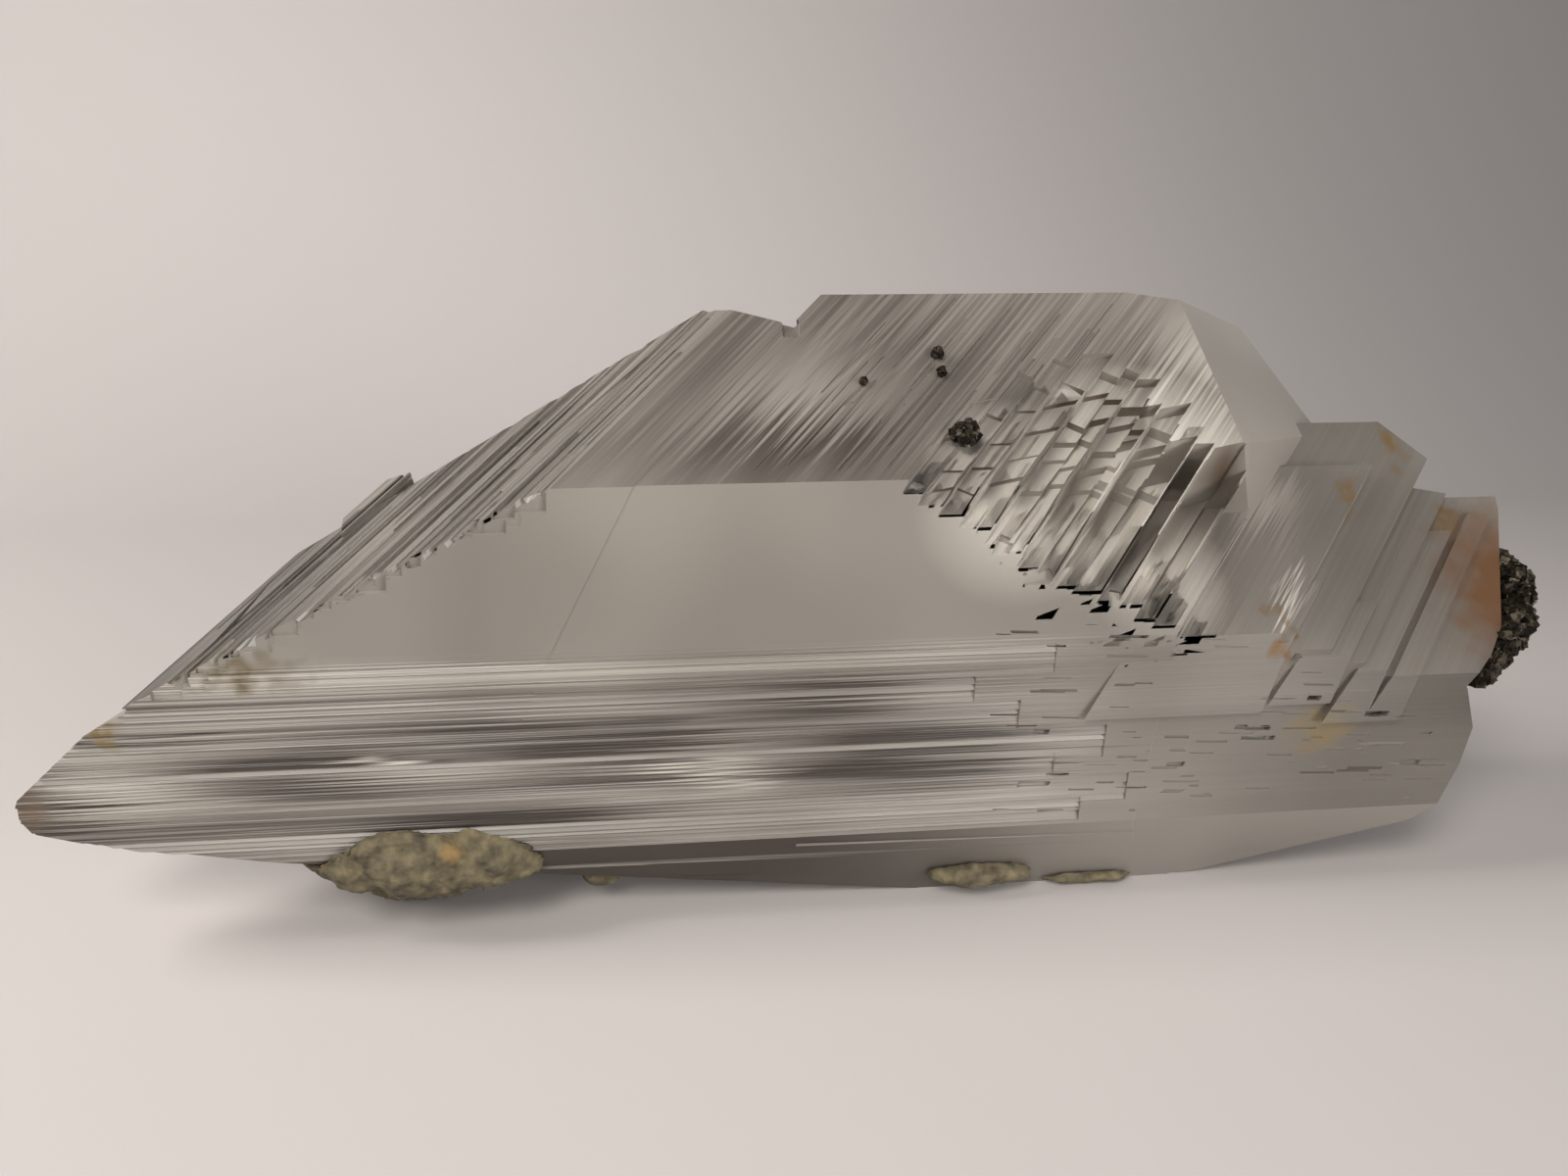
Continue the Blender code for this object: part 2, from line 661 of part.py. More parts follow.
made_parts = [crystal(piece, helpers, selenite), matrix_lump(piece, helpers, matrix_stone)]
made_parts += matrix_scraps(piece, helpers, matrix_stone)
made_parts.append(pyrite_crust(piece, helpers, pyrite))
made_parts += pyrite_specks(piece, helpers, pyrite)
centre_all(made_parts)
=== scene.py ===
import math
import random

import bmesh
import bpy
from mathutils import Euler, Matrix, Vector, noise
from mathutils.bvhtree import BVHTree


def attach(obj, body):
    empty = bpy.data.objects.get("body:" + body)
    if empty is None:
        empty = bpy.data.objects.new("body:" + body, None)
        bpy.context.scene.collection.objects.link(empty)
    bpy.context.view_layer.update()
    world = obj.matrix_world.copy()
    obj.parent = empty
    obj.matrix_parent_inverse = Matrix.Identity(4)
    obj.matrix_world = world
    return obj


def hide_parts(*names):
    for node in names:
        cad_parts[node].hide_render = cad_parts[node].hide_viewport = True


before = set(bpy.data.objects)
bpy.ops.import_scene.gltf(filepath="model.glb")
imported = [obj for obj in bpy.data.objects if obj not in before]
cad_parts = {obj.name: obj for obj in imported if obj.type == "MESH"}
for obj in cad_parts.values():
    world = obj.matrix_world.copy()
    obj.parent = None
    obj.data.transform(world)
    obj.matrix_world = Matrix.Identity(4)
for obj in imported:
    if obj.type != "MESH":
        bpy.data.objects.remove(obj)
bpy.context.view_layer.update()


# The blade itself: one crystal of selenite, clear gypsum, grown as parallel plates that share
# their edges. Its faces are natural growth faces, satin from fine growth lines, and the slope
# beside the broad face is dissolved into slats and steps.
MM = 0.001
SHIFT = Vector((-8.463, -18.227, 0.0))  # from the crystal's own millimetres to the row frame

# Directions that the whole crystal shares: its two growth edges, and the normals of its faces.
C_AXIS = Vector((1.0, 0.0, 0.0))
EDGE = Vector((0.6296, 0.589, 0.5075)).normalized()
BROAD = Vector((0.0, -0.652, 0.758)).normalized()
ACROSS = EDGE.cross(BROAD).normalized()
BAND = Vector((-0.428, -0.282, 0.859)).normalized()
RISER = Vector((0.64, -0.46, 0.62)).normalized()
UNDERCUT = Vector((0.0, -0.893, -0.450)).normalized()

ANCHOR = Vector((0.0, -12.0, 85.2))        # a point of the broad face, in mm
BAND_CORNER = Vector((-39.2, -12.0, 84.7))  # upper front corner of the striated band
RIDGE_LOW = Vector((-104.0, -12.0, 52.0))   # ends of the edge between the band and the front
RIDGE_HIGH = Vector((-41.0, -12.0, 84.2))
FRONT_Y = -12.0
FRONT_SHOULDER_Z = 56.6
FRONT_LEAN = 0.1137  # how far the front draws back for each mm below its shoulder

SEAM = 1.07          # share of the second edge in a cut that follows a plate's side
SLAT_CUTS, SLAT_SEED = 170, 101
STREAK_CUTS, BAND_CUTS, STREAK_SEED = 46, 70, 102
PIT_CUTS, PIT_SEED = 85, 103
CHIP_CUTS, CHIP_SEED = 46, 104

SELENITE_IOR = 1.52
SELENITE_CLEARNESS = 0.46
SELENITE_DENSITY = 6.0
PATCH_GAIN = 1.35
DARK_TONE, PALE_TONE, DEPTH_TINT, SLAT_DIRT = "3c352d", "f6efe4", "ccc2b4", "5c4731"

# Soft patches of tone, partly cloudiness and partly painted shade and painted highlights:
# centre in mm, radii in mm, strength (below nought is darker).
# Painted shade: dark patches on the front where dark surroundings would show through it.
FRONT_CLOUDS_AND_PAINTED_LIGHT = [
    ((-86.0, -10.0, 36.5), (24.0, 20.0, 8.0), -0.33),
    ((-62.0, -10.0, 41.0), (26.0, 20.0, 6.0), -0.22),
    ((-33.0, -10.0, 37.5), (22.0, 20.0, 8.5), -0.27),
    ((2.0, -9.0, 46.0), (20.0, 20.0, 6.0), -0.20),
    ((22.0, -9.0, 33.0), (30.0, 20.0, 10.0), -0.32),
    ((-40.0, -9.0, 24.0), (50.0, 20.0, 4.0), -0.20),
    ((-107.0, -10.0, 43.0), (9.0, 20.0, 2.6), -0.36),
    ((-131.0, -10.0, 32.5), (14.0, 20.0, 12.0), -0.24),
    # Painted highlights: small pale spots of glow on the striated front.
    ((-72.0, -10.0, 37.3), (5.0, 20.0, 2.2), 0.60),
    ((-11.0, -9.0, 32.0), (8.0, 20.0, 5.0), 0.36),
    ((-112.0, -9.0, 33.0), (17.0, 20.0, 7.5), 0.20),
    ((-20.0, -9.0, 24.0), (30.0, 20.0, 5.0), 0.14),
]
# Painted shade and painted light on the broad face and its risers, with some cloudiness.
BROAD_CLOUDS_AND_PAINTED_LIGHT = [
    ((-8.0, -8.0, 88.5), (34.0, 9.0, 10.0), -0.07),
    ((5.0, 4.0, 99.0), (85.0, 34.0, 34.0), -0.10),
    ((6.5, 2.0, 97.5), (18.0, 12.0, 11.0), 0.18),
    ((80.0, 10.0, 101.0), (16.0, 22.0, 14.0), 0.32),
    ((93.0, 10.0, 75.0), (8.0, 12.0, 9.0), 0.15),
    ((92.6, -5.6, 61.2), (4.0, 5.0, 4.0), 0.40),
]
# Painted light: the etched slats are painted paler where the lamps leave the hollow in shade.
SLAT_PAINTED_LIGHT = [
    ((40.0, -7.0, 80.0), (20.0, 21.0, 18.0), 0.60),
    ((60.0, -2.0, 81.0), (24.0, 25.0, 22.0), 0.75),
    ((67.0, -8.0, 68.0), (16.0, 15.0, 15.0), 0.45),
]
# Stains of iron and clay: centre in mm, radii in mm, colour, strength.
STAINS = [
    ((142.0, 2.0, 56.0), (19.0, 24.0, 28.0), "6e4d31", 1.5),
    ((88.5, -9.0, 54.9), (3.0, 6.0, 7.0), "7a5b38", 1.5),
    ((99.8, -9.5, 35.7), (9.0, 8.0, 6.0), "84724f", 1.1),
    ((111.2, 10.8, 75.2), (3.5, 4.0, 4.0), "77603f", 1.1),
    ((125.4, 22.8, 82.1), (3.5, 6.0, 8.0), "77603f", 1.2),
    ((133.4, 15.4, 69.0), (5.0, 6.0, 3.0), "77603f", 1.3),
    ((-114.5, -11.0, 45.2), (5.0, 6.0, 4.0), "7d6840", 1.3),
    ((-128.0, -10.0, 31.0), (6.0, 14.0, 8.0), "6f5c47", 1.0),
    ((-90.0, -12.0, 56.0), (15.0, 6.0, 4.0), "6d6044", 1.1),
]


def place(x, y, z):
    """Point of the row frame in metres, from millimetres along the crystal's own axes."""
    return (Vector((x, y, z)) + SHIFT) * MM


def linear(code):
    """Linear colour from an sRGB hex value."""
    values = [int(code[i:i + 2], 16) / 255.0 for i in (0, 2, 4)]
    return [v / 12.92 if v <= 0.04045 else ((v + 0.055) / 1.055) ** 2.4 for v in values] + [1.0]


def add_node(tree, kind, props=None, values=None, links=None):
    """Adds one shader node, sets its properties and sockets, and links its inputs."""
    made = tree.nodes.new(kind)
    for name, value in (props or {}).items():
        setattr(made, name, value)
    for name, value in (values or {}).items():
        made.inputs[name].default_value = value
    for name, source in (links or {}).items():
        tree.links.new(source, made.inputs[name])
    return made


def mix_colour(tree, share, first, code):
    """Mixes a hex colour into a first one, a hex colour or a socket, by a share."""
    values, links = {7: linear(code)}, {0: share}
    if isinstance(first, str):
        values[6] = linear(first)
    else:
        links[6] = first
    return add_node(tree, "ShaderNodeMix", {"data_type": "RGBA"}, values, links).outputs[2]


def new_material(name):
    """Material with an empty node tree, and that tree."""
    mat = bpy.data.materials.new(name)
    mat.use_nodes = True
    mat.node_tree.nodes.clear()
    return mat, mat.node_tree


def coat(ob, mat):
    """Gives an object one material, in place of any that it has."""
    ob.data.materials.clear()
    ob.data.materials.append(mat)


def as_object(bm, name):
    """Object at the origin from a mesh under construction, which is freed."""
    mesh = bpy.data.meshes.new(name)
    bm.to_mesh(mesh)
    bm.free()
    ob = bpy.data.objects.new(name, mesh)
    bpy.context.scene.collection.objects.link(ob)
    return ob


def closed_copy(node, name):
    """Copy of a solid's mesh with its loose triangles joined."""
    bm = bmesh.new()
    bm.from_mesh(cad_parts[node].data)
    bmesh.ops.remove_doubles(bm, verts=bm.verts[:], dist=0.0000005)
    return as_object(bm, name)


def apply_modifiers(ob):
    """Gives an object the mesh that its modifiers make, and drops the modifiers."""
    graph = bpy.context.evaluated_depsgraph_get()
    graph.update()
    mesh = bpy.data.meshes.new_from_object(ob.evaluated_get(graph))
    ob.modifiers.clear()
    ob.data = mesh


def selenite_material():
    """Clear gypsum: light goes through it, growth lines make its faces satin instead of glassy,
    and cloudy and stained places, painted shade and painted highlights keep it from looking
    like clean glass."""
    mat, tree = new_material("clear_selenite")
    where = add_node(tree, "ShaderNodeTexCoord")
    point = where.outputs["Object"]
    facing = where.outputs["Normal"]

    def dot(source, direction):
        made = add_node(tree, "ShaderNodeVectorMath", {"operation": "DOT_PRODUCT"},
                        {1: direction}, {0: source})
        return made.outputs["Value"]

    def ramp(source, low, high, a=0.0, b=1.0):
        """Smooth step that gives a at the low value and b at the high one."""
        made = add_node(tree, "ShaderNodeMapRange", {"interpolation_type": "SMOOTHSTEP"},
                        {"From Min": low, "From Max": high, "To Min": a, "To Max": b},
                        {"Value": source})
        return made.outputs[0]

    def calc(operation, *items):
        values = {slot: item for slot, item in enumerate(items) if isinstance(item, (int, float))}
        links = {slot: item for slot, item in enumerate(items) if slot not in values}
        return add_node(tree, "ShaderNodeMath", {"operation": operation}, values, links).outputs[0]

    def total(*items):
        result = items[0]
        for item in items[1:]:
            result = calc("ADD", result, item)
        return result

    def times(*items):
        result = items[0]
        for item in items[1:]:
            result = calc("MULTIPLY", result, item)
        return result

    def blend(mask, first, second):
        """First value where the mask is nought, second where it is one."""
        return calc("MULTIPLY_ADD", mask, calc("SUBTRACT", second, first), first)

    def lines(along, across, third, stretch, pitch, detail):
        """Streaks that run along one direction, with a spacing of pitch millimetres across it."""
        scaled = add_node(tree, "ShaderNodeCombineXYZ", links={
            0: dot(point, Vector(along) * (1000.0 / stretch)),
            1: dot(point, Vector(across) * (1000.0 / pitch)),
            2: dot(point, Vector(third) * (250.0 / pitch)),
        })
        made = add_node(tree, "ShaderNodeTexNoise", {"noise_dimensions": "3D"},
                        {"Scale": 1.0, "Detail": detail, "Roughness": 0.6},
                        {"Vector": scaled.outputs[0]})
        return made.outputs["Fac"]

    def spots(scale):
        return add_node(tree, "ShaderNodeTexNoise", values={"Scale": scale, "Detail": 1.0},
                        links={"Vector": point})

    def pushed(amount, reach):
        """The point moved by an amount, nought to one, of a reach vector in millimetres."""
        made = add_node(tree, "ShaderNodeVectorMath", {"operation": "MULTIPLY_ADD"},
                        {1: Vector(reach) * MM}, {0: amount, 2: point})
        return made.outputs[0], Vector(reach) * 0.5

    def soft_patch_at(source, centre, radii):
        """Soft round patch: one at the centre, nothing past the radii, both in millimetres."""
        spot, shift = source
        middle = place(*(Vector(centre) + shift))
        size = Vector([1.0 / (radius * MM) for radius in radii])
        away = add_node(tree, "ShaderNodeVectorMath", {"operation": "MULTIPLY_ADD"},
                        {1: size, 2: middle * size * -1.0}, {0: spot})
        made = add_node(tree, "ShaderNodeTexGradient", {"gradient_type": "SPHERICAL"}, {},
                        {"Vector": away.outputs[0]})
        return made.outputs["Fac"]

    # The patches hold painted shade and painted highlights as well as cloudiness.
    def patches(source, places):
        """Sum of soft patches, each given as centre, radii and strength."""
        result = 0.0
        for centre, radii, strength in places:
            patch_here = soft_patch_at(source, centre, radii)
            result = calc("MULTIPLY_ADD", patch_here, strength * PATCH_GAIN, result)
        return result

    # Masks for the kinds of face, from which way a point faces (cosines) and where it is (m).
    parts = add_node(tree, "ShaderNodeSeparateXYZ", links={0: point})
    along, inward, up = (parts.outputs[axis] for axis in "XYZ")
    near_front = ramp(inward, -0.0130, -0.0170)
    near_top = ramp(dot(point, BROAD), 0.034, 0.042)
    is_front = times(ramp(dot(facing, (0.0, -1.0, 0.0)), 0.90, 0.97), near_front)
    is_broad = times(ramp(dot(facing, BROAD), 0.93, 0.98), near_top)
    is_band = times(ramp(dot(facing, BAND), 0.93, 0.98), near_top)
    is_riser = times(ramp(dot(facing, RISER), 0.90, 0.96), near_top)
    is_end = times(ramp(calc("ABSOLUTE", dot(facing, EDGE)), 0.35, 0.6),
                   ramp(calc("ABSOLUTE", dot(facing, BROAD)), 0.5, 0.3))
    is_under = times(ramp(dot(facing, UNDERCUT), 0.955, 0.985), near_front)
    low_front = times(is_front, ramp(up, 0.0580, 0.0550))
    striated = times(low_front, ramp(along, 0.005, 0.055, 1.0, 0.06))
    lined = ramp(along, 0.055, 0.080, 0.35, 0.08)

    # Growth lines: along the c axis on the front, along the second edge on the faces above it.
    front_fine = lines((1, 0, 0), (0, 0, 1), (0, 1, 0), 90.0, 0.5, 1.0)
    front_wide = lines((1, 0, 0), (0, 0, 1), (0, 1, 0), 160.0, 4.0, 0.0)
    edge_fine = lines(EDGE, ACROSS, BROAD, 40.0, 0.6, 1.0)
    edge_wide = lines(EDGE, ACROSS, BROAD, 70.0, 4.0, 0.0)
    cloud = spots(22.0).outputs["Fac"]
    upper_lines = calc("MULTIPLY_ADD", is_broad, lined, is_band)
    height = calc("MULTIPLY_ADD", total(front_fine, front_wide), striated,
                  times(total(edge_fine, edge_wide), upper_lines))
    bump = add_node(tree, "ShaderNodeBump", values={"Strength": 0.7, "Distance": 0.0007},
                    links={"Height": height})

    # Tone, nought for dark to one for pale: clouds and painted shade and highlights drawn out
    # along the lines, and the lines, which on the front also paint a satin sheen.
    front_clouds_and_painted_light = patches(pushed(front_fine, C_AXIS * 60.0), FRONT_CLOUDS_AND_PAINTED_LIGHT)
    broad_clouds_and_painted_light = patches(pushed(edge_fine, EDGE * 36.0), BROAD_CLOUDS_AND_PAINTED_LIGHT)
    slat_painted_light = patches((point, Vector((0.0, 0.0, 0.0))), SLAT_PAINTED_LIGHT)
    edge_streaks = total(ramp(edge_fine, 0.35, 0.7, -0.04, 0.06),
                         ramp(edge_wide, 0.3, 0.7, -0.03, 0.03))
    # Growth streaks on the front, partly painted sheen: pale lines stand in for a silky shine.
    front_streaks_and_sheen = calc("MULTIPLY_ADD", calc("SUBTRACT", front_wide, 0.5), 0.5,
                         ramp(front_fine, 0.40, 0.66, -0.06, 0.10))
    front_tone = total(calc("MULTIPLY_ADD", low_front, front_clouds_and_painted_light, 0.28),
                       times(striated, front_streaks_and_sheen),
                       # Painted shade: the front darkens towards the right end, where the lamps'
                       # light falls off.
                       ramp(along, 0.030, 0.110, 0.0, -0.19))
    # Painted light: the broad face is painted paler over the etched slats.
    broad_tone = total(calc("MULTIPLY_ADD", slat_painted_light, 0.6, 0.19),
                       times(edge_streaks, lined, 2.4), broad_clouds_and_painted_light)
    band_tone = total(edge_streaks, ramp(up, 0.052, 0.080, 0.03, 0.24))

    tone = blend(is_front, 0.35, front_tone)
    tone = blend(is_broad, tone, broad_tone)
    tone = blend(is_band, tone, band_tone)
    # Painted light: the risers are painted a little paler, as if lit through from behind.
    tone = calc("MULTIPLY_ADD", is_riser, 0.04, tone)
    # Painted light: every face over the etched slats is painted paler.
    tone = calc("MULTIPLY_ADD", slat_painted_light, 0.6, tone)
    # Painted shade: the undercut faces that face down are painted darker, most at the left end.
    tone = calc("MULTIPLY_ADD", is_under, ramp(along, 0.0, 0.06, -0.36, -0.08), tone)
    tone = total(tone, ramp(cloud, 0.3, 0.7, -0.05, 0.05))
    tinted = mix_colour(tree, tone, DARK_TONE, PALE_TONE)

    # Stains with broken outlines, and dirt caught on the ends of the slats.
    shaken = pushed(spots(260.0).outputs["Color"], (12.0, 12.0, 12.0))
    for centre, radii, colour, strength in STAINS:
        share = calc("MULTIPLY", soft_patch_at(shaken, centre, radii), strength)
        tinted = mix_colour(tree, share, tinted, colour)
    dirt = times(is_end, ramp(slat_painted_light, 0.05, 0.25), ramp(cloud, 0.42, 0.55, 0.0, 0.9))
    tinted = mix_colour(tree, dirt, tinted, SLAT_DIRT)

    satin = calc("MULTIPLY_ADD", slat_painted_light, 0.12, ramp(cloud, 0.3, 0.7, 0.34, 0.46))
    shader = add_node(tree, "ShaderNodeBsdfPrincipled", values={
        "IOR": SELENITE_IOR, "Transmission Weight": SELENITE_CLEARNESS, "Metallic": 0.0,
    }, links={"Base Color": tinted, "Roughness": satin, "Normal": bump.outputs[0]})
    body = add_node(tree, "ShaderNodeVolumeAbsorption", values={
        "Color": linear(DEPTH_TINT), "Density": SELENITE_DENSITY})
    add_node(tree, "ShaderNodeOutputMaterial", links={
        "Surface": shader.outputs[0], "Volume": body.outputs[0]})
    return mat


def lattice(a, b, g):
    """Point at a along c, b along the second edge, g off the broad face, in row metres."""
    return place(*(ANCHOR + C_AXIS * a + EDGE * b + BROAD * g))


def crystal_mm(spot):
    """Millimetres along the crystal's own axes, from a point of the row frame in metres."""
    return spot / MM - SHIFT


def cut_boxes(target, boxes):
    """Cuts skewed boxes out of a solid: each is a corner in metres and three sides in mm."""
    tools = []
    for index, (corner, sides) in enumerate(boxes):
        a, b, c = [side * MM for side in sides]
        bm = bmesh.new()
        for v in bmesh.ops.create_cube(bm, size=1.0)["verts"]:
            x, y, z = [k + 0.5 for k in v.co]
            v.co = corner + a * x + b * y + c * z
        bmesh.ops.recalc_face_normals(bm, faces=bm.faces[:])
        tool = as_object(bm, "cut_%03d" % index)
        mod = target.modifiers.new(tool.name, "BOOLEAN")
        mod.operation = "DIFFERENCE"
        mod.solver = "MANIFOLD"
        mod.object = tool
        tools.append(tool)
    apply_modifiers(target)
    for tool in tools:
        bpy.data.objects.remove(tool, do_unlink=True)


def step_value(stations, a):
    """Value at a, on the straight pieces between stations."""
    for (a0, b0), (a1, b1) in zip(stations, stations[1:]):
        if a <= a1:
            return b0 + (b1 - b0) * (a - a0) / (a1 - a0)
    return stations[-1][1]


def etched_slats(blade_tree):
    """Slats and steps left by dissolving: each cut runs down the slope along the second edge."""
    top = [(19.0, 12.0), (23.0, 27.0), (40.0, 28.0), (46.0, 24.0), (59.0, 21.0), (69.0, -2.0),
           (88.0, -22.0)]
    foot = [(19.0, 2.0), (27.0, -3.0), (40.0, -11.0), (51.0, -19.0), (70.0, -27.0),
            (88.0, -36.0)]
    lowest, highest = -26.5, 0.5  # levels off the broad face between which the slope lies
    rng = random.Random(SLAT_SEED)
    boxes = []
    while len(boxes) < SLAT_CUTS:
        a = rng.uniform(20.0, 88.0)
        high = step_value(top, a)
        low = step_value(foot, a)
        b = rng.uniform(low, high)
        hit = blade_tree.ray_cast(lattice(a, b, 8.0), -BROAD)[0]
        if hit is None:
            continue
        g = (crystal_mm(hit) - ANCHOR).dot(BROAD)
        if g < lowest or g > highest:
            continue
        width = rng.choice((0.6, 0.9, 1.3, 1.8, 2.6, 3.6)) * rng.uniform(0.8, 1.2)
        depth = rng.uniform(0.12, 0.35) * (1.0 + width * 0.25)
        skew = rng.choice((-SEAM, -SEAM, 0.0, 0.4)) * width
        length = rng.uniform(6.0, 26.0)
        sides = (C_AXIS * width + EDGE * skew, -EDGE * length, BROAD * 9.0)
        boxes.append((lattice(a, b, g - depth), sides))
    return boxes


def face_streaks():
    """Shallow grooves along the second edge on the broad face and on the striated band."""
    rng = random.Random(STREAK_SEED)
    boxes = []
    for _ in range(STREAK_CUTS):
        a = rng.uniform(-12.0, 34.0)
        b = rng.uniform(2.0, 34.0)
        width = rng.uniform(0.25, 0.9)
        sides = (C_AXIS * width - EDGE * width * rng.choice((0.0, SEAM)),
                 EDGE * rng.uniform(5.0, 22.0), BROAD * 3.0)
        boxes.append((lattice(a, b, 0.25 - rng.uniform(0.10, 0.32)), sides))
    side = EDGE.cross(BAND).normalized()
    if side.x > 0:
        side = -side
    for _ in range(BAND_CUTS):
        corner = BAND_CORNER + side * rng.uniform(0.5, 50.0) + EDGE * rng.uniform(-60.0, 30.0)
        depth = rng.uniform(0.15, 0.55)
        lean = BAND * 4.0 + side * rng.uniform(-1.5, 1.5)
        sides = (side * rng.uniform(0.3, 1.3), EDGE * rng.uniform(14.0, 70.0), lean)
        boxes.append((place(*(corner - BAND * depth)), sides))
    return boxes


def front_y(z):
    """How far back the front lies at a height, in millimetres."""
    return FRONT_Y + max(0.0, FRONT_SHOULDER_Z - z) * FRONT_LEAN


def front_pits(blade_tree):
    """Short flat etch pits on the right half of the front, more of them toward the right."""
    rng = random.Random(PIT_SEED)
    boxes = []
    while len(boxes) < PIT_CUTS:
        x = rng.uniform(30.0, 126.0)
        z = rng.uniform(19.0, 70.0)
        if z > 98.0 - x * 0.52 or rng.random() > (x - 10.0) / 70.0:
            continue
        hit = blade_tree.ray_cast(place(x, -60.0, z), Vector((0.0, 1.0, 0.0)))[0]
        if hit is None or crystal_mm(hit).y > front_y(z) + 1.2:
            continue
        length = rng.uniform(1.2, 7.5)
        height = rng.uniform(0.2, 0.7)
        depth = rng.uniform(0.1, 0.3)
        sides = (Vector((length, 0.0, -0.05 * length)),
                 Vector((rng.uniform(-0.4, 0.4), -depth * 1.1, height)),
                 Vector((0.0, -4.0, 1.2)))
        start = crystal_mm(hit)
        boxes.append((place(start.x, start.y + depth, start.z), sides))
    return boxes


def edge_chips():
    """Broken bits along the edge between the front and the striated band."""
    rng = random.Random(CHIP_SEED)
    boxes = []
    for _ in range(CHIP_CUTS):
        spot = RIDGE_LOW.lerp(RIDGE_HIGH, rng.random())
        size = rng.uniform(0.8, 3.6)
        sides = (C_AXIS * size * rng.uniform(0.8, 1.8), Vector((0.0, size * 0.8, 0.0)),
                 Vector((0.15, 0.0, size)))
        offset = Vector((size * rng.uniform(0.0, 0.6), size * rng.uniform(0.3, 0.75),
                         size * rng.uniform(0.2, 0.6)))
        boxes.append((place(*(spot - offset)), sides))
    return boxes


blade = closed_copy("crystal", "selenite_crystal")
uncut = bmesh.new()
uncut.from_mesh(blade.data)
uncut_tree = BVHTree.FromBMesh(uncut)
uncut.free()
cut_boxes(blade, etched_slats(uncut_tree))
cut_boxes(blade, face_streaks() + front_pits(uncut_tree) + edge_chips())
coat(blade, selenite_material())
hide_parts("crystal")
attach(blade, "root")


# Matrix: the grey-green granular rock that the crystal grew on, with ochre iron stain. It is
# a mass of fine grains and mica, broken off rough, and it is grown onto the underside and the
# lower front edge of the blade.
GRAIN_PITCHES = ((7.5, 1.2), (3.0, 0.7), (1.2, 0.45))  # pitch in mm, share of the depth
OCHRE = "7d6236"
# Ochre spots on the lump: centre, inner and outer radius, in mm.
OCHRE_SPOTS = (
    ((-57.0, -14.0, 23.5), 1.0, 11.0),
    ((-47.0, -12.0, 16.0), 0.5, 6.0),
    ((-85.0, -8.0, 18.5), 1.0, 7.0),
)
# Solid, name of the dressed piece, grid in mm, depth of the grains in mm.
MATRIX_PIECES = (
    ("matrix_lump", "matrix_mass", 0.40, 0.75),
    ("matrix_crumb", "hanging_crumb", 0.30, 0.4),
    ("matrix_patch", "edge_patch", 0.30, 0.35),
    ("matrix_strip", "edge_strip", 0.30, 0.3),
)


def grainy_copy(node, name, voxel, rough, seed):
    """Copy of a solid with fine even faces, its surface pushed in and out by grains."""
    ob = closed_copy(node, name)
    grid = ob.modifiers.new("fine_grid", "REMESH")
    grid.mode = "VOXEL"
    grid.voxel_size = voxel * MM
    apply_modifiers(ob)
    offset = Vector((seed * 7.3, seed * 2.9, seed * 5.1))
    outward = [v.normal.copy() for v in ob.data.vertices]
    for v, normal in zip(ob.data.vertices, outward):
        p = v.co / MM
        wave = 0.0
        for pitch, share in GRAIN_PITCHES:
            cell = noise.voronoi(p / pitch + offset, distance_metric="DISTANCE")[0]
            wave += share * (0.5 - cell[0] * 1.4)
        v.co += normal * (wave * rough * MM)
    for face in ob.data.polygons:
        face.use_smooth = True
    return ob


def matrix_material():
    """Granular rock: rough enough to look dull and earthy, grey-green where its grains differ
    in tone, with a few uneven ochre patches where iron has stained it."""
    mat, tree = new_material("granular_matrix_rock")
    point = add_node(tree, "ShaderNodeTexCoord").outputs["Object"]
    broad = add_node(tree, "ShaderNodeTexNoise", values={"Scale": 170.0, "Detail": 4.0},
                     links={"Vector": point})
    fine = add_node(tree, "ShaderNodeTexNoise", values={"Scale": 380.0, "Detail": 6.0},
                    links={"Vector": point})
    grains = add_node(tree, "ShaderNodeTexVoronoi", values={"Scale": 1100.0},
                      links={"Vector": point})
    body = add_node(tree, "ShaderNodeValToRGB", links={"Fac": fine.outputs["Fac"]})
    for stop, position, code in zip(body.color_ramp.elements, (0.30, 0.72), ("2e291d", "6c6249")):
        stop.position = position
        stop.color = linear(code)
    stained = body.outputs["Color"]
    for centre, inner, outer in OCHRE_SPOTS:
        far = add_node(tree, "ShaderNodeVectorMath", {"operation": "DISTANCE"},
                       {1: place(*centre)}, {0: point})
        near = add_node(tree, "ShaderNodeMapRange", {"interpolation_type": "SMOOTHSTEP"},
                        {"From Min": inner * MM, "From Max": outer * MM,
                         "To Min": 0.42, "To Max": -0.25}, {"Value": far.outputs["Value"]})
        patch = add_node(tree, "ShaderNodeMath", {"operation": "ADD"},
                         links={0: near.outputs[0], 1: broad.outputs["Fac"]})
        ochre = add_node(tree, "ShaderNodeMapRange", {"interpolation_type": "SMOOTHSTEP"},
                         {"From Min": 0.72, "From Max": 1.0, "To Max": 0.85},
                         {"Value": patch.outputs[0]})
        stained = mix_colour(tree, ochre.outputs[0], stained, OCHRE)
    bump = add_node(tree, "ShaderNodeBump", values={"Strength": 0.35, "Distance": 0.0005},
                    links={"Height": grains.outputs["Distance"]})
    shader = add_node(tree, "ShaderNodeBsdfPrincipled", values={"Roughness": 0.85},
                      links={"Base Color": stained, "Normal": bump.outputs[0]})
    add_node(tree, "ShaderNodeOutputMaterial", links={"Surface": shader.outputs[0]})
    return mat


matrix_rock = matrix_material()
for seed, (node, name, voxel, rough) in enumerate(MATRIX_PIECES, 1):
    rock = grainy_copy(node, name, voxel, rough, seed)
    coat(rock, matrix_rock)
    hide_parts(node)
    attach(rock, "root")


